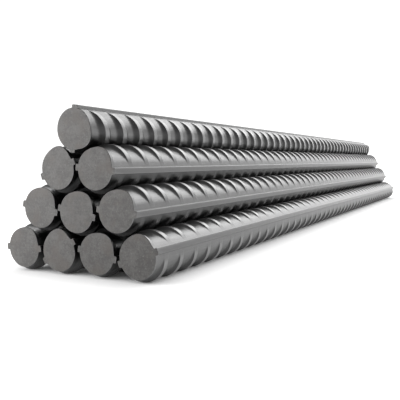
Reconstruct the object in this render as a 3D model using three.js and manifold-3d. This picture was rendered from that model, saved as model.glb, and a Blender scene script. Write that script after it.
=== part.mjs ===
// Stack of ten hot-rolled reinforcing bars, 32 mm nominal, laid four, three, two and one.
//
// Millimetres. X runs along the bars, Z is up, and the origin lies on the floor under the
// middle of the stack. Each bar is a round core with two flat-topped longitudinal ribs and,
// between them, two rows of crescent cross ribs. The crests of a row all touch one eccentric
// cylinder, so each row is held here as that cylinder, the surface that the bars rest on.
import * as THREE from 'three';
import { mergeVertices } from 'three/addons/utils/BufferGeometryUtils.js';
import Module from 'manifold-3d';

const wasm = await Module();
wasm.setup();

// Bar
const barLength = 1015;
const coreDiameter = 30.9;

// Longitudinal ribs, on both sides of the core
const longRibHeight = 2.1;
const longRibWidth = 5.0;
const longRibRootRadius = 0.8;
const longRibCornerRadius = 0.5;

// Crescent cross ribs, in two rows between the longitudinal ribs
const crossRibHeight = 2.9;
const crossRibPitch = 22.3;
const crossRibCrestWidth = 4.8;
const crossRibFlankAngle = 45;
const crossRibRunOut = 18; // degrees from the middle of a longitudinal rib

// From the front sawn end to the middle of the first rib: the two rows are staggered
const firstUpperRib = 14.9;
const firstLowerRib = 8.9;

// Stack: how far each bar is rolled about its own axis, in degrees, row by row from the
// floor up and across each row from +Y to -Y. At 0 the longitudinal ribs lie level, and a
// positive roll lifts the one on the -Y side.
const rollsByRow = [
  [0, 30, -10, 20],
  [-10, -11, -5],
  [20, -5],
  [-96],
];
const sideClearance = 0.5; // between the widest parts of two bars in the bottom row
const seatClearance = 0.3; // between a bar and each of the two that it rests on

// Facets
const coreArcSteps = 16;
const crestSteps = 36;
const rootArcSteps = 2;

// Settling of a row on the one below: the drop shrinks by dropRatio from step to step
const firstDrop = 1;
const lastDrop = 0.001;
const dropRatio = 0.95;
const settlePasses = 40;

const rad = THREE.MathUtils.degToRad;
const coreRadius = coreDiameter / 2;
const longRibReach = coreRadius + longRibHeight;

// The eccentric circle through the crests of one row of cross ribs: it stands crossRibHeight
// above the core in the middle of the row and meets the core where the crescents run out.
const crestReach = coreRadius + crossRibHeight;
const runOutFromMiddle = rad(90 - crossRibRunOut);
const crestOffset = (crestReach ** 2 - coreRadius ** 2)
  / (2 * (crestReach - coreRadius * Math.cos(runOutFromMiddle)));
const crestRadius = crestReach - crestOffset;

// Half of a cross rib along the bar, from its middle to its foot
const flankRun = crossRibHeight / Math.tan(rad(crossRibFlankAngle));
const ribFoot = crossRibCrestWidth / 2 + flankRun;

function arc(centreX, centreY, radius, from, to, steps) {
  return Array.from({ length: steps + 1 }, (_, i) => {
    const angle = from + ((to - from) * i) / steps;
    return new THREE.Vector2(
      centreX + radius * Math.cos(angle),
      centreY + radius * Math.sin(angle),
    );
  });
}

// Half of the bar's section, counter-clockwise: the rib on the +X side of the drawing, with
// its root fillets and rounded corners, and the core's arc above it.
function halfSection() {
  const halfWidth = longRibWidth / 2;
  const rootCentreY = halfWidth + longRibRootRadius;
  const rootAngle = Math.asin(rootCentreY / (coreRadius + longRibRootRadius));
  const rootCentreX = (coreRadius + longRibRootRadius) * Math.cos(rootAngle);
  const cornerX = longRibReach - longRibCornerRadius;
  const cornerY = halfWidth - longRibCornerRadius;
  const lowerRoot = arc(rootCentreX, -rootCentreY, longRibRootRadius,
    Math.PI - rootAngle, Math.PI / 2, rootArcSteps);
  const lowerCorner = arc(cornerX, -cornerY, longRibCornerRadius, -Math.PI / 2, 0, rootArcSteps);
  const upperCorner = arc(cornerX, cornerY, longRibCornerRadius, 0, Math.PI / 2, rootArcSteps);
  const upperRoot = arc(rootCentreX, rootCentreY, longRibRootRadius,
    -Math.PI / 2, rootAngle - Math.PI, rootArcSteps);
  const core = arc(0, 0, coreRadius, rootAngle, Math.PI - rootAngle, coreArcSteps);
  return [...lowerRoot, ...lowerCorner, ...upperCorner, ...upperRoot, ...core.slice(1, -1)];
}

// Core and longitudinal ribs, extruded along X with the ribs on the -Y and +Y sides
function plainBar() {
  const half = halfSection();
  const otherHalf = half.map((point) => point.clone().negate());
  const section = new THREE.Shape([...half, ...otherHalf]);
  const bar = new THREE.ExtrudeGeometry(section, { depth: barLength, bevelEnabled: false });
  bar.applyMatrix4(new THREE.Matrix4().makeBasis(
    new THREE.Vector3(0, 1, 0),
    new THREE.Vector3(0, 0, 1),
    new THREE.Vector3(1, 0, 0),
  ));
  return bar.translate(-barLength / 2, 0, 0);
}

// The cylinder through the crests of the row on the +Z (side 1) or -Z (side -1) of the core.
// Its ends slope like the flanks of the first and the last rib. A last rib may run past the
// back end, where the saw cuts it off.
function crestCylinder(side, firstRib) {
  const ribGaps = Math.floor((barLength - firstRib) / crossRibPitch);
  const start = firstRib - ribFoot;
  const end = firstRib + ribGaps * crossRibPitch + ribFoot;
  const profile = [
    new THREE.Vector2(0, start),
    new THREE.Vector2(crestRadius - crossRibHeight, start),
    new THREE.Vector2(crestRadius, start + flankRun),
    new THREE.Vector2(crestRadius, end - flankRun),
    new THREE.Vector2(crestRadius - crossRibHeight, end),
    new THREE.Vector2(0, end),
  ];
  const cylinder = new THREE.LatheGeometry(profile, crestSteps);
  cylinder.rotateZ(-Math.PI / 2);
  return cylinder.translate(-barLength / 2, 0, side * crestOffset);
}

function toSolid(geometry) {
  const bare = geometry.clone();
  bare.deleteAttribute('normal');
  bare.deleteAttribute('uv');
  const merged = mergeVertices(bare);
  return new wasm.Manifold(new wasm.Mesh({
    numProp: 3,
    vertProperties: new Float32Array(merged.attributes.position.array),
    triVerts: new Uint32Array(merged.index.array),
  }));
}

function toGeometry(solid) {
  const { vertProperties, triVerts } = solid.getMesh();
  const geometry = new THREE.BufferGeometry();
  geometry.setAttribute('position', new THREE.BufferAttribute(vertProperties, 3));
  geometry.setIndex(new THREE.BufferAttribute(triVerts, 1));
  geometry.computeVertexNormals();
  return geometry;
}

function ribbedBar() {
  const betweenCuts = new THREE.BoxGeometry(barLength, 4 * crestReach, 4 * crestReach);
  const solid = toSolid(plainBar())
    .add(toSolid(crestCylinder(1, firstUpperRib)))
    .add(toSolid(crestCylinder(-1, firstLowerRib)))
    .intersect(toSolid(betweenCuts));
  return toGeometry(solid);
}

// The section as discs about the bar's centre, which is enough to find where two bars touch:
// the core, the two crest circles and the rounded corners of the longitudinal ribs.
function sectionDiscs(roll) {
  const cornerY = longRibReach - longRibCornerRadius;
  const cornerZ = longRibWidth / 2 - longRibCornerRadius;
  const discs = [{ y: 0, z: 0, radius: coreRadius }];
  for (const side of [1, -1]) {
    discs.push({ y: 0, z: side * crestOffset, radius: crestRadius });
    for (const edge of [1, -1]) {
      discs.push({ y: side * cornerY, z: edge * cornerZ, radius: longRibCornerRadius });
    }
  }
  const turn = rad(-roll);
  return discs.map(({ y, z, radius }) => ({
    y: y * Math.cos(turn) - z * Math.sin(turn),
    z: y * Math.sin(turn) + z * Math.cos(turn),
    radius,
  }));
}

function gapBetween(upper, lower) {
  let gap = Infinity;
  for (const a of upper.discs) {
    for (const b of lower.discs) {
      const across = upper.y + a.y - lower.y - b.y;
      const up = upper.z + a.z - lower.z - b.z;
      gap = Math.min(gap, Math.hypot(across, up) - a.radius - b.radius);
    }
  }
  return gap;
}

// Moves a bar away from another where they are closer than seatClearance. A neighbour in the
// same row gives way by half.
function keepApart(bar, other, share) {
  const shortfall = seatClearance - gapBetween(bar, other);
  if (shortfall <= 0) return;
  const across = bar.y - other.y;
  const up = bar.z - other.z;
  const move = shortfall / Math.hypot(across, up);
  bar.y += share * move * across;
  bar.z += share * move * up;
  other.y -= (1 - share) * move * across;
  other.z -= (1 - share) * move * up;
}

// Lets a row sink, by ever smaller steps, until it rests on the row below it
function settle(row, below) {
  for (let drop = firstDrop; drop > lastDrop; drop *= dropRatio) {
    row.forEach((bar) => { bar.z -= drop; });
    for (let pass = 0; pass < settlePasses; pass += 1) {
      row.forEach((bar, index) => {
        if (index > 0) keepApart(bar, row[index - 1], 0.5);
        below.slice(index, index + 2).forEach((support) => keepApart(bar, support, 1));
      });
    }
  }
}

const barSpacing = 2 * longRibReach + sideClearance;

function placeBars() {
  const rows = [];
  rollsByRow.forEach((rolls, level) => {
    const row = rolls.map((roll, index) => ({
      roll,
      discs: sectionDiscs(roll),
      y: ((rolls.length - 1) / 2 - index) * barSpacing,
    }));
    if (level === 0) {
      row.forEach((bar) => { bar.z = Math.max(...bar.discs.map((disc) => disc.radius - disc.z)); });
    } else {
      const below = rows[level - 1];
      const startHeight = Math.max(...below.map((bar) => bar.z)) + barSpacing;
      row.forEach((bar) => { bar.z = startHeight; });
      settle(row, below);
    }
    rows.push(row);
  });
  return rows;
}

// How far the stack reaches from the X axis, to the +Y side (1) or the -Y side (-1)
function reach(rows, side) {
  const reaches = rows.flat().flatMap((bar) => (
    bar.discs.map((disc) => side * (bar.y + disc.y) + disc.radius)
  ));
  return Math.max(...reaches);
}

const stack = new THREE.Group();
stack.name = 'rebar_stack';
const barGeometry = ribbedBar();
const rows = placeBars();
const middle = (reach(rows, 1) - reach(rows, -1)) / 2;

rows.forEach((row, level) => {
  row.forEach((bar, index) => {
    const steel = new THREE.MeshStandardMaterial({ color: 0x8c8c8a, roughness: 0.5, metalness: 0.9 });
    const mesh = new THREE.Mesh(barGeometry, steel);
    mesh.name = `bar_row${level + 1}_${index + 1}`;
    mesh.position.set(0, bar.y - middle, bar.z);
    mesh.rotation.x = rad(-bar.roll);
    stack.add(mesh);
  });
});

export default stack;
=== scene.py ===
import math

import bmesh
import bpy
import numpy as np
from mathutils import Euler, Matrix, Quaternion, Vector


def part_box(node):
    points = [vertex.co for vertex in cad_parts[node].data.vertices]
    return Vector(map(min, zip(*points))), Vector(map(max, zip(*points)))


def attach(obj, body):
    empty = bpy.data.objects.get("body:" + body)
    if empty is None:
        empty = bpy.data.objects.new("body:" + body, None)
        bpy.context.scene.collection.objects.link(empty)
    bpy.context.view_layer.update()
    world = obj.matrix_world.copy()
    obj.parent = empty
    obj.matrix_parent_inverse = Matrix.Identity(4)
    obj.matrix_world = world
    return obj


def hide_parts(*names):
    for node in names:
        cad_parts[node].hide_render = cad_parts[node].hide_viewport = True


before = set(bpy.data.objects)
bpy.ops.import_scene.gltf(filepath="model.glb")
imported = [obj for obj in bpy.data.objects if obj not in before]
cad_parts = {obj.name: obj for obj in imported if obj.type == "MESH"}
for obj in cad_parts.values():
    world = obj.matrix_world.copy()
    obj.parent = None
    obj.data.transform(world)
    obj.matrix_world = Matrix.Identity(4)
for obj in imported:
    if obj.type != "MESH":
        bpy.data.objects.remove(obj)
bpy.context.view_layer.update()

MM = 0.001

# ---------------------------------------------------------------- bar, in millimetres
CORE_RADIUS = 15.45
SAWN_CHAMFER = 0.25
SAME_PLACE = 0.001            # points closer than this along the bar are one point

LONG_RIB_HEIGHT = 2.1
LONG_RIB_WIDTH = 5.0
LONG_RIB_ROOT = 0.2
LONG_RIB_CORNER = 0.5
LONG_RIB_STEPS = 2            # facets in each root fillet and each corner
SEAM_FROM_MIDDLE = 0.5        # the halves of the skin are joined by a strip along the rib's top

CROSS_RIB_HEIGHT = 2.9
CROSS_RIB_PITCH = 22.3
CROSS_RIB_CREST = 4.8
CROSS_RIB_FLANK = math.radians(36)
CROSS_RIB_CORNER = 0.25
CROSS_RIB_ROOT = 6.5
CROSS_RIB_ROOT_STEPS = 3
CROSS_RIB_RUN_OUT = math.radians(22.5)    # from the middle of a longitudinal rib
CROSS_RIB_STEP = math.radians(7.2)        # between the lines of points over a row
LOWEST_RIB = 0.5              # a lower stretch of rib keeps this one's spread of points

# Shares of a finish and of painted shade, kept at each point of the skin for the material: on
# the crests and the flanks of the cross ribs, and on the corners and the flat tops of the
# longitudinal ribs. The flanks and the flat tops are painted darker, as shade.
FINISH_AND_PAINTED_SHADE_LAYERS = ("crest", "flank", "edge", "rib_top_painted_shade")
FLANK_FADE = 0.6              # of a root radius, at its foot, loses the flank's dull oxide and painted shade
BACK_FLANK = 0.4              # how far a flank that faces the back end has the dull oxide and painted shade of a flank that faces the front end
FADED_RIB = 0.8               # below this height the wear of a crest and the dull oxide and painted shade of a flank fade out

# Rows of cross ribs above and below the longitudinal ribs: the side, the middle of the first
# rib from the sawn end, and how far a rib leans along the bar for each radian round it
ROWS = ((1, 16.9, -5.6), (-1, 9.3, -3.3))

# How far each bar is rolled, in degrees, by level from the floor up. At 0 the longitudinal
# ribs lie level, and a positive roll lifts the one on the -Y side.
ROLLS = ((0, 30, -10, 20), (-10, -11, -5), (20, -5), (-96,))

# The crests of a row all touch one eccentric circle
crest_reach = CORE_RADIUS + CROSS_RIB_HEIGHT
half_row = math.pi / 2 - CROSS_RIB_RUN_OUT
crest_offset = (crest_reach ** 2 - CORE_RADIUS ** 2) / (
    2 * (crest_reach - CORE_RADIUS * math.cos(half_row)))
crest_radius = crest_reach - crest_offset


def crest_height(angle):
    """How far a crest stands above the core, at an angle from the middle of its row."""
    across = crest_offset * math.sin(angle)
    reach = crest_offset * math.cos(angle) + math.sqrt(crest_radius ** 2 - across ** 2)
    return max(reach - CORE_RADIUS, 0.0)


def rib_profile(height):
    """Half of a cross rib's profile, from the edge of its crest to the core at its foot.

    A point is its distance from the rib's middle, its rise from the core, and how far it has
    the worn finish of a crest and the dull oxide and painted shade of a flank. The corner and
    the root radius are made smaller where the flank is too short for them.
    """
    laid_out = max(height, LOWEST_RIB)
    half_turn = CROSS_RIB_FLANK / 2
    flank = laid_out / math.sin(CROSS_RIB_FLANK)
    tangents = (CROSS_RIB_CORNER + CROSS_RIB_ROOT) * math.tan(half_turn)
    share = min(1.0, flank / tangents)
    corner = share * CROSS_RIB_CORNER
    root = share * CROSS_RIB_ROOT
    crest_edge = CROSS_RIB_CREST / 2 - corner * math.tan(half_turn)
    foot = (CROSS_RIB_CREST / 2 + laid_out / math.tan(CROSS_RIB_FLANK)
            + root * math.tan(half_turn))
    points = [
        (crest_edge, laid_out, 1.0, 0.0),
        (crest_edge + corner * math.sin(CROSS_RIB_FLANK),
         laid_out - corner * (1 - math.cos(CROSS_RIB_FLANK)), 0.0, 1.0),
    ]
    for i in range(CROSS_RIB_ROOT_STEPS + 1):
        left = 1 - i / CROSS_RIB_ROOT_STEPS
        slope = left * CROSS_RIB_FLANK
        points.append((foot - root * math.sin(slope), root * (1 - math.cos(slope)), 0.0,
                       min(1.0, left / FLANK_FADE)))
    fade = min(1.0, height / FADED_RIB)
    return [(along, rise * height / laid_out, crest * fade, flank_share * fade)
            for along, rise, crest, flank_share in points]


def line_over_ribs(angle, first, lean, length):
    """Points along the bar over all ribs of a row, at an angle from the row's middle.

    Each is its place along the bar, its rise, its share of crest wear and its share of flank
    oxide and painted shade. Points past a sawn end all lie on it.
    """
    half = rib_profile(crest_height(angle))
    rib = [(-along, *rest) for along, *rest in reversed(half)]
    rib += [(along, rise, crest, BACK_FLANK * flank) for along, rise, crest, flank in half]
    spare = 2
    middles = first + lean * angle + CROSS_RIB_PITCH * np.arange(
        -spare, math.ceil(length / CROSS_RIB_PITCH) + spare)
    line = np.array([(middle + along, *rest) for middle in middles for along, *rest in rib])
    places = np.clip(line[:, 0], SAWN_CHAMFER, length - SAWN_CHAMFER)
    shares = [np.interp(places, line[:, 0], line[:, i]) for i in (1, 2, 3)]
    return np.column_stack([places, *shares])


def arc(y, z, radius, start, end, steps):
    return [(y + radius * math.cos(start + (end - start) * i / steps),
             z + radius * math.sin(start + (end - start) * i / steps))
            for i in range(steps + 1)]


def long_rib_outline():
    """Half of the longitudinal rib on the +Y side, and the angle at which it meets the core.

    The half runs from the rib's flat top to the core above it. A point is its Y and Z, 1 on
    the rounded corner, and 1 on the flat top.
    """
    half_width = LONG_RIB_WIDTH / 2
    reach = CORE_RADIUS + LONG_RIB_HEIGHT
    root_z = half_width + LONG_RIB_ROOT
    root_angle = math.asin(root_z / (CORE_RADIUS + LONG_RIB_ROOT))
    root_y = (CORE_RADIUS + LONG_RIB_ROOT) * math.cos(root_angle)
    corner = arc(reach - LONG_RIB_CORNER, half_width - LONG_RIB_CORNER, LONG_RIB_CORNER,
                 0, math.pi / 2, LONG_RIB_STEPS)
    root = arc(root_y, root_z, LONG_RIB_ROOT, -math.pi / 2, root_angle - math.pi, LONG_RIB_STEPS)
    outline = [(reach, SEAM_FROM_MIDDLE, 0.0, 1.0), (*corner[0], 1.0, 1.0)]
    outline += [(y, z, 1.0, 0.0) for y, z in corner[1:]]
    outline += [(y, z, 0.0, 0.0) for y, z in root]
    return outline, math.pi / 2 - root_angle


def half_section():
    """Lines of the skin on one side of the longitudinal ribs, from the -Y rib to the +Y rib.

    Each is its angle from the row's middle, its Y and Z on the bare bar, the direction in
    which it rises over the cross ribs, 1 on a longitudinal rib's corner, and 1 on its top.
    """
    outline, root_angle = long_rib_outline()
    steps = round(2 * half_row / CROSS_RIB_STEP)
    lines = [(-root_angle, -y, z, 0.0, 0.0, edge, top) for y, z, edge, top in outline]
    for i in range(steps + 1):
        angle = -half_row + 2 * half_row * i / steps
        y, z = math.sin(angle), math.cos(angle)
        lines.append((angle, CORE_RADIUS * y, CORE_RADIUS * z, y, z, 0.0, 0.0))
    lines += [(root_angle, y, z, 0.0, 0.0, edge, top) for y, z, edge, top in reversed(outline)]
    return lines


def add_half_skin(mesh, side, first, lean, length):
    """Adds the skin of one row of cross ribs and the halves of longitudinal rib beside it."""
    crest_layer, flank_layer, edge_layer, top_layer = (
        mesh.verts.layers.float[name] for name in FINISH_AND_PAINTED_SHADE_LAYERS)
    columns = []
    for angle, y, z, rise_y, rise_z, edge, top in half_section():
        column = []
        last_place = -math.inf
        for place, rise, crest, flank in line_over_ribs(angle, first, lean, length):
            if place - last_place > SAME_PLACE:
                vert = mesh.verts.new((place, y + rise * rise_y, side * (z + rise * rise_z)))
                vert[crest_layer] = crest
                vert[flank_layer] = flank
                vert[edge_layer] = edge
                vert[top_layer] = top
                last_place = place
            column.append(vert)
        columns.append(column)
    for left, right in zip(columns, columns[1:]):
        for i in range(len(left) - 1):
            corners = dict.fromkeys((left[i], right[i], right[i + 1], left[i + 1]))
            if len(corners) > 2:
                mesh.faces.new(corners)
    return columns


def join_along(mesh, one, other):
    """Fills the strip between two lines of points along the bar with triangles."""
    one, other = list(dict.fromkeys(one)), list(dict.fromkeys(other))
    i = j = 0
    while i < len(one) - 1 or j < len(other) - 1:
        step_one = j == len(other) - 1 or (
            i < len(one) - 1 and one[i + 1].co.x <= other[j + 1].co.x)
        if step_one:
            mesh.faces.new((one[i], one[i + 1], other[j]))
            i += 1
        else:
            mesh.faces.new((one[i], other[j + 1], other[j]))
            j += 1


def add_sawn_end(mesh, rim, place):
    """Closes the skin at a sawn end, with a small chamfer round the cut."""
    edge_layer = mesh.verts.layers.float["edge"]
    cut = []
    for vert in rim:
        across = Vector((0, vert.co.y, vert.co.z))
        cut.append(mesh.verts.new(Vector((place, 0, 0)) + across
                                  - SAWN_CHAMFER * across.normalized()))
        vert[edge_layer] = 1.0
        cut[-1][edge_layer] = 1.0
    face = mesh.faces.new(cut)
    face.material_index = 1
    for i, vert in enumerate(rim):
        j = (i + 1) % len(rim)
        mesh.faces.new((vert, rim[j], cut[j], cut[i]))
        mesh.edges.get((vert, rim[j])).smooth = False
        mesh.edges.get((cut[i], cut[j])).smooth = False


def ribbed_bar_mesh(length):
    """One closed skin over core, longitudinal ribs and cross ribs, from x = 0 to the length."""
    mesh = bmesh.new()
    for name in FINISH_AND_PAINTED_SHADE_LAYERS:
        mesh.verts.layers.float.new(name)
    upper, lower = (add_half_skin(mesh, *row, length) for row in ROWS)
    join_along(mesh, upper[0], lower[0])
    join_along(mesh, upper[-1], lower[-1])
    for end, place in ((0, 0.0), (-1, length)):
        rim = [column[end] for column in upper] + [column[end] for column in reversed(lower)]
        add_sawn_end(mesh, rim, place)
    bmesh.ops.recalc_face_normals(mesh, faces=mesh.faces)
    for face in mesh.faces:
        face.smooth = face.material_index == 0
    data = bpy.data.meshes.new("ribbed_bar")
    mesh.to_mesh(data)
    mesh.free()
    return data


# ---------------------------------------------------------------- shader nodes
class Reading:
    """The output of a shader node, which takes part in sums as a number does."""

    def __init__(self, nodes, socket):
        self.nodes = nodes
        self.socket = socket

    def maths(self, operation, *numbers):
        return self.nodes.add("Math", {"operation": operation}, dict(enumerate(numbers)))

    def __add__(self, other):
        return self.maths("ADD", self, other)

    def __radd__(self, other):
        return self.maths("ADD", other, self)

    def __sub__(self, other):
        return self.maths("SUBTRACT", self, other)

    def __rsub__(self, other):
        return self.maths("SUBTRACT", other, self)

    def __mul__(self, other):
        return self.maths("MULTIPLY", self, other)

    def __rmul__(self, other):
        return self.maths("MULTIPLY", other, self)

    def between(self, low, high):
        """0 below the low value and 1 above the high one, with a soft step between them."""
        return self.nodes.add("MapRange", {"interpolation_type": "SMOOTHSTEP"},
                              {"Value": self, "From Min": low, "From Max": high})


class Nodes:
    """The node tree of one material or of the world."""

    def __init__(self, owner):
        owner.use_nodes = True
        self.tree = owner.node_tree

    def feed(self, node, sockets):
        for name, value in sockets.items():
            if isinstance(value, Reading):
                self.tree.links.new(value.socket, node.inputs[name])
            else:
                node.inputs[name].default_value = value

    def add(self, kind, settings, sockets, output=0):
        """Adds a node: its settings first, then the values and links of its sockets."""
        node = self.tree.nodes.new("ShaderNode" + kind)
        for name, setting in settings.items():
            setattr(node, name, setting)
        self.feed(node, sockets)
        return Reading(self, node.outputs[output])

    def attribute(self, name):
        return self.add("Attribute", {"attribute_name": name}, {}, "Fac")

    def noise(self, place, grain, detail=2.0, roughness=0.5):
        """Even noise between 0 and 1 whose grains are about so many millimetres apart."""
        return self.add("TexNoise", {}, {"Vector": place, "Scale": 1 / (grain * MM),
                                         "Detail": detail, "Roughness": roughness})

    def stretched(self, place, stretch):
        """Places for a noise that is drawn out where the stretch is below 1."""
        return self.add("VectorMath", {"operation": "MULTIPLY"}, {0: place, 1: stretch})

    def blend(self, share, start, end):
        """A colour between two, at a share of the way."""
        colour_a, colour_b, result = 6, 7, 2
        return self.add("Mix", {"data_type": "RGBA"},
                        {0: share, colour_a: start, colour_b: end}, result)

    def bump(self, height, depth):
        """A normal from a height between 0 and 1 that stands for so many millimetres."""
        return self.add("Bump", {}, {"Height": height, "Distance": depth * MM,
                                     "Strength": 1.0}, "Normal")


def grey(level, warmth=0.0):
    return (level * (1 + warmth), level, level * (1 - warmth), 1)


# ---------------------------------------------------------------- finishes
MILL_SCALE = grey(0.16)
THIN_SCALE = grey(0.19)
# painted shade: the flat tops of the longitudinal ribs are darker than the scale round them
RIB_TOP_PAINTED_SHADE = grey(0.145)
# dull oxide with painted shade: the flanks of the cross ribs are darker than the scale
FLANK_OXIDE_AND_PAINTED_SHADE = grey(0.10)
BURNISHED = grey(0.24)
SCUFFED = grey(0.28)
SCUFF_SHARE = 0.35            # how far a scuff takes the scale to the scuffed grey
WORN_CREST = 0.75             # wear of a crest where the grain is lowest; 1 is burnished
WORN_EDGE = 0.35              # wear of a corner
SIDE_ROUGHNESS = 0.37
CREST_ROUGHNESS = 0.35
FLANK_ROUGHNESS = 0.42
PATCH_ROUGHNESS = 0.12        # between the smoothest and the roughest patch
SCALE_DEPTH = 0.06            # of the grain, in millimetres

# How a noise is drawn out along the bar by the rolls, in scuffs, and across it by the saw
ROLLED = (0.06, 1, 1)
RUBBED = (0.3, 1, 1)
SAWN = (1, 0.08, 1)

SAWN_WARMTH = 0.028
SAWN_DARK = grey(0.110, SAWN_WARMTH)
SAWN_PALE = grey(0.168, SAWN_WARMTH)
SAWN_BRIGHT = grey(0.24, SAWN_WARMTH)
SAWN_RUST = (0.148, 0.132, 0.121, 1)
SPECK_SHARE = 0.6
RUST_SHARE = 0.6
SAWN_ROUGHNESS = 0.6
SANDY_ROUGHNESS = 0.2         # between the smoothest and the roughest grain
SAWN_SHEEN = 0.3              # specular level of the dull cut
SAW_DEPTH = 0.05              # of the saw lines and the sandy grain, in millimetres


def rolled_steel():
    """Sides of the bars: grey mill scale, worn off the crests of the cross ribs.

    The flanks of the cross ribs are dull oxide, painted darker as shade, most on the flanks
    that face the front end, and the tops of the longitudinal ribs are painted darker as shade.
    """
    material = bpy.data.materials.new("rolled_steel")
    nodes = Nodes(material)
    place = nodes.add("TexCoord", {}, {}, "Object")
    patches = nodes.noise(place, grain=6.0, detail=3.0, roughness=0.6)
    streaks = nodes.noise(nodes.stretched(place, ROLLED), grain=0.9)
    grain = nodes.noise(place, grain=0.45, roughness=0.6)
    rubbing = nodes.noise(nodes.stretched(place, RUBBED), grain=2.6, detail=4.0, roughness=0.7)
    crest = nodes.attribute("crest")
    # the flank share carries dull oxide and painted shade
    flank = nodes.attribute("flank")
    edge = nodes.attribute("edge")
    rib_top_painted_shade = nodes.attribute("rib_top_painted_shade")

    thin = (patches * 0.6 + streaks * 0.4).between(0.3, 0.7)
    scuffs = rubbing.between(0.60, 0.72)
    scale_and_painted_shade = nodes.blend(thin, MILL_SCALE, THIN_SCALE)
    scale_and_painted_shade = nodes.blend(scuffs * SCUFF_SHARE, scale_and_painted_shade, SCUFFED)
    # painted shade: the flat tops of the longitudinal ribs are darker
    scale_and_painted_shade = nodes.blend(rib_top_painted_shade, scale_and_painted_shade, RIB_TOP_PAINTED_SHADE)
    # painted shade: the flanks of the cross ribs are darker, less so on those facing the back end
    scale_and_painted_shade = nodes.blend(flank, scale_and_painted_shade, FLANK_OXIDE_AND_PAINTED_SHADE)
    worn = crest * (WORN_CREST + (1 - WORN_CREST) * grain) + edge * WORN_EDGE
    colour = nodes.blend(worn.between(0.0, 1.0), scale_and_painted_shade, BURNISHED)

    roughness = (SIDE_ROUGHNESS + flank * (FLANK_ROUGHNESS - SIDE_ROUGHNESS)
                 + crest * (CREST_ROUGHNESS - SIDE_ROUGHNESS) + (patches - 0.5) * PATCH_ROUGHNESS)
    height = grain * 0.35 + streaks * 0.4 + patches * 0.25
    nodes.feed(nodes.tree.nodes["Principled BSDF"],
               {"Base Color": colour, "Metallic": 1.0 - flank, "Roughness": roughness,
                "Normal": nodes.bump(height, SCALE_DEPTH)})
    return material


def sawn_steel():
    """Sawn ends: dull, with fine saw lines, a sandy grain and a faint bloom of rust."""
    material = bpy.data.materials.new("sawn_steel")
    nodes = Nodes(material)
    place = nodes.add("TexCoord", {}, {}, "Object")
    clouds = nodes.noise(place, grain=7.0, detail=3.0, roughness=0.6)
    sand = nodes.noise(place, grain=1.5, roughness=0.6)
    specks = nodes.noise(place, grain=1.3).between(0.62, 0.70)
    lines = nodes.noise(nodes.stretched(place, SAWN), grain=1.0)
    bloom = nodes.noise(place, grain=12.0).between(0.45, 0.70)

    pale = clouds * 0.45 + sand * 0.4 + lines * 0.15
    tone = nodes.blend(pale.between(0.39, 0.61), SAWN_DARK, SAWN_PALE)
    tone = nodes.blend(specks * SPECK_SHARE, tone, SAWN_BRIGHT)
    colour = nodes.blend(bloom * RUST_SHARE, tone, SAWN_RUST)
    nodes.feed(nodes.tree.nodes["Principled BSDF"],
               {"Base Color": colour, "Metallic": 0.0,
                "Roughness": SAWN_ROUGHNESS + (sand - 0.5) * SANDY_ROUGHNESS,
                "Specular IOR Level": SAWN_SHEEN,
                "Normal": nodes.bump(sand * 0.6 + lines * 0.4, SAW_DEPTH)})
    return material


# ---------------------------------------------------------------- the ten bars
def stand_in_scene(name, data):
    thing = bpy.data.objects.new(name, data)
    bpy.context.scene.collection.objects.link(thing)
    return thing


def place_bar(node, skin):
    """Lays a copy of the ribbed skin where the frame has the node, rolled as it lies there."""
    low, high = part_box(node)
    level, index = (int(number) for number in node.removeprefix("bar_row").split("_"))
    roll = math.radians(ROLLS[level - 1][index - 1])
    data = skin.copy()
    data.name = node
    data.transform(Matrix.Translation((low + high) / 2)
                   @ Matrix.Rotation(-roll, 4, "X")
                   @ Matrix.Scale(MM, 4)
                   @ Matrix.Translation((-(high.x - low.x) / MM / 2, 0, 0)))
    bar = stand_in_scene(node + "_steel", data)
    bar.modifiers.new("flat_crests", "WEIGHTED_NORMAL").keep_sharp = True
    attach(bar, "root")
    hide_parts(node)


bar_nodes = sorted(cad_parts)
first_low, first_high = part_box(bar_nodes[0])
ribbed_bar = ribbed_bar_mesh((first_high.x - first_low.x) / MM)
ribbed_bar.materials.append(rolled_steel())
ribbed_bar.materials.append(sawn_steel())
for bar_node in bar_nodes:
    place_bar(bar_node, ribbed_bar)

# ---------------------------------------------------------------- stage and light, in metres
FLOOR_HALF = 30.0
FLOOR_TONE = 0.9
FLOOR_ROUGHNESS = 0.9
FLOOR_GLOW = 0.82
FLOOR_FAR_GLOW = 0.89
FLOOR_NEAR = 0.8              # the glow rises from here
FLOOR_FAR = 4.0               # to here
# how far from the bars the painted shadow of ambient occlusion on the glow reaches
FLOOR_SHADE_REACH = 0.04

# A dark room with patches of light: azimuth and elevation of the middle in degrees, the
# cosines from it at which the light sets in and is full, and how bright it is
ROOM_LEVEL = 0.08
ROOM_LIGHTS = {
    "wall": (-4, 0, -0.02, 0.88, 1.0),
    "white backdrop": (30, 8, 0.70, 0.90, 0.25),
}

# Soft lamps: place, width and height, and radiance
LAMPS = {
    "upper_soft_box": ((3.27, -0.17, 2.29), (5.2, 2.0), 1.5),
    "back_soft_box": ((3.51, -0.62, 1.89), (0.74, 4.1), 2.0),
    "front_fill": ((-0.86, 0.62, 0.20), (0.5, 0.4), 10.2),
}
LAMP_TARGET = Vector((0, 0, 0.06))


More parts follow.
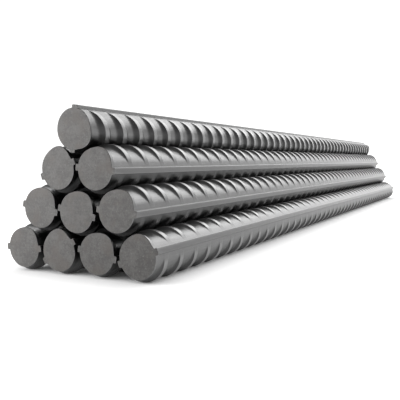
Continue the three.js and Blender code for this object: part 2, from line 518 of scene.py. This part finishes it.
def floor_white():
    """White floor. A glow that lamps and matt surfaces don't get fills up its white, a little less
    near the bars than far off. Ambient occlusion dims the glow beside the bars into a painted
    shadow, over the bars' real shadow."""
    material = bpy.data.materials.new("floor_white")
    nodes = Nodes(material)
    seen = sum(nodes.add("LightPath", {}, {}, f"Is {ray} Ray")
               for ray in ("Camera", "Glossy", "Transmission"))
    # ambient occlusion dims the glow beside the bars: a painted shadow on the floor
    open_sky = nodes.add("AmbientOcclusion", {}, {"Distance": FLOOR_SHADE_REACH}, "AO")
    place = nodes.add("TexCoord", {}, {}, "Object")
    away = nodes.add("VectorMath", {"operation": "LENGTH"}, {0: place}, "Value")
    glow = FLOOR_GLOW + away.between(FLOOR_NEAR, FLOOR_FAR) * (FLOOR_FAR_GLOW - FLOOR_GLOW)
    nodes.feed(nodes.tree.nodes["Principled BSDF"],
               {"Base Color": grey(FLOOR_TONE), "Roughness": FLOOR_ROUGHNESS,
                "Specular IOR Level": 0.0, "Emission Color": seen * open_sky * glow,
                "Emission Strength": 1.0})
    return material


def add_floor():
    data = bpy.data.meshes.new("floor")
    corners = [(-1, -1), (1, -1), (1, 1), (-1, 1)]
    data.from_pydata([(x * FLOOR_HALF, y * FLOOR_HALF, 0) for x, y in corners], [], [(0, 1, 2, 3)])
    data.materials.append(floor_white())
    stand_in_scene("floor", data)


def add_room():
    world = bpy.data.worlds.new("studio")
    bpy.context.scene.world = world
    nodes = Nodes(world)
    direction = nodes.add("TexCoord", {}, {}, "Generated")
    level = ROOM_LEVEL
    for azimuth, elevation, edge, full, brightness in ROOM_LIGHTS.values():
        middle = Vector((1, 0, 0))
        middle.rotate(Euler((0, -math.radians(elevation), math.radians(azimuth))))
        nearness = nodes.add("VectorMath", {"operation": "DOT_PRODUCT"},
                             {0: direction, 1: middle}, "Value")
        level = level + nearness.between(edge, full) * brightness
    nodes.feed(nodes.tree.nodes["Background"], {"Color": level, "Strength": 1.0})


def add_lamp(name, place, size, radiance):
    data = bpy.data.lights.new(name, "AREA")
    data.shape = "RECTANGLE"
    data.size, data.size_y = size
    data.energy = radiance * math.pi * size[0] * size[1]
    lamp = stand_in_scene(name, data)
    lamp.location = place
    lamp.rotation_euler = (LAMP_TARGET - Vector(place)).to_track_quat("-Z", "Y").to_euler()
    lamp.visible_camera = False


add_floor()
add_room()
for lamp_name, lamp_values in LAMPS.items():
    add_lamp(lamp_name, *lamp_values)

# ---------------------------------------------------------------- camera
IMAGE_WIDTH = 400
SENSOR_WIDTH = 36
FOCAL_PIXELS = 556.4
NEAREST_IN_VIEW = 0.01
CAMERA_PLACE = Vector((-0.8261, -0.2703, 0.0852))
CAMERA_YAW = math.radians(27.712)
CAMERA_PITCH = math.radians(-3.981)
CAMERA_ROLL = math.radians(-0.235)

camera_data = bpy.data.cameras.new("camera")
camera_data.sensor_fit = "HORIZONTAL"
camera_data.sensor_width = SENSOR_WIDTH
camera_data.lens = FOCAL_PIXELS * SENSOR_WIDTH / IMAGE_WIDTH
camera_data.clip_start = NEAREST_IN_VIEW
camera = stand_in_scene("camera", camera_data)
camera.location = CAMERA_PLACE
look = Vector((math.cos(CAMERA_PITCH) * math.cos(CAMERA_YAW),
               math.cos(CAMERA_PITCH) * math.sin(CAMERA_YAW),
               math.sin(CAMERA_PITCH)))
level_view = look.to_track_quat("-Z", "Y")
camera.rotation_euler = (level_view @ Quaternion((0, 0, 1), CAMERA_ROLL)).to_euler()
bpy.context.scene.camera = camera

bpy.context.scene.view_settings.view_transform = "Standard"
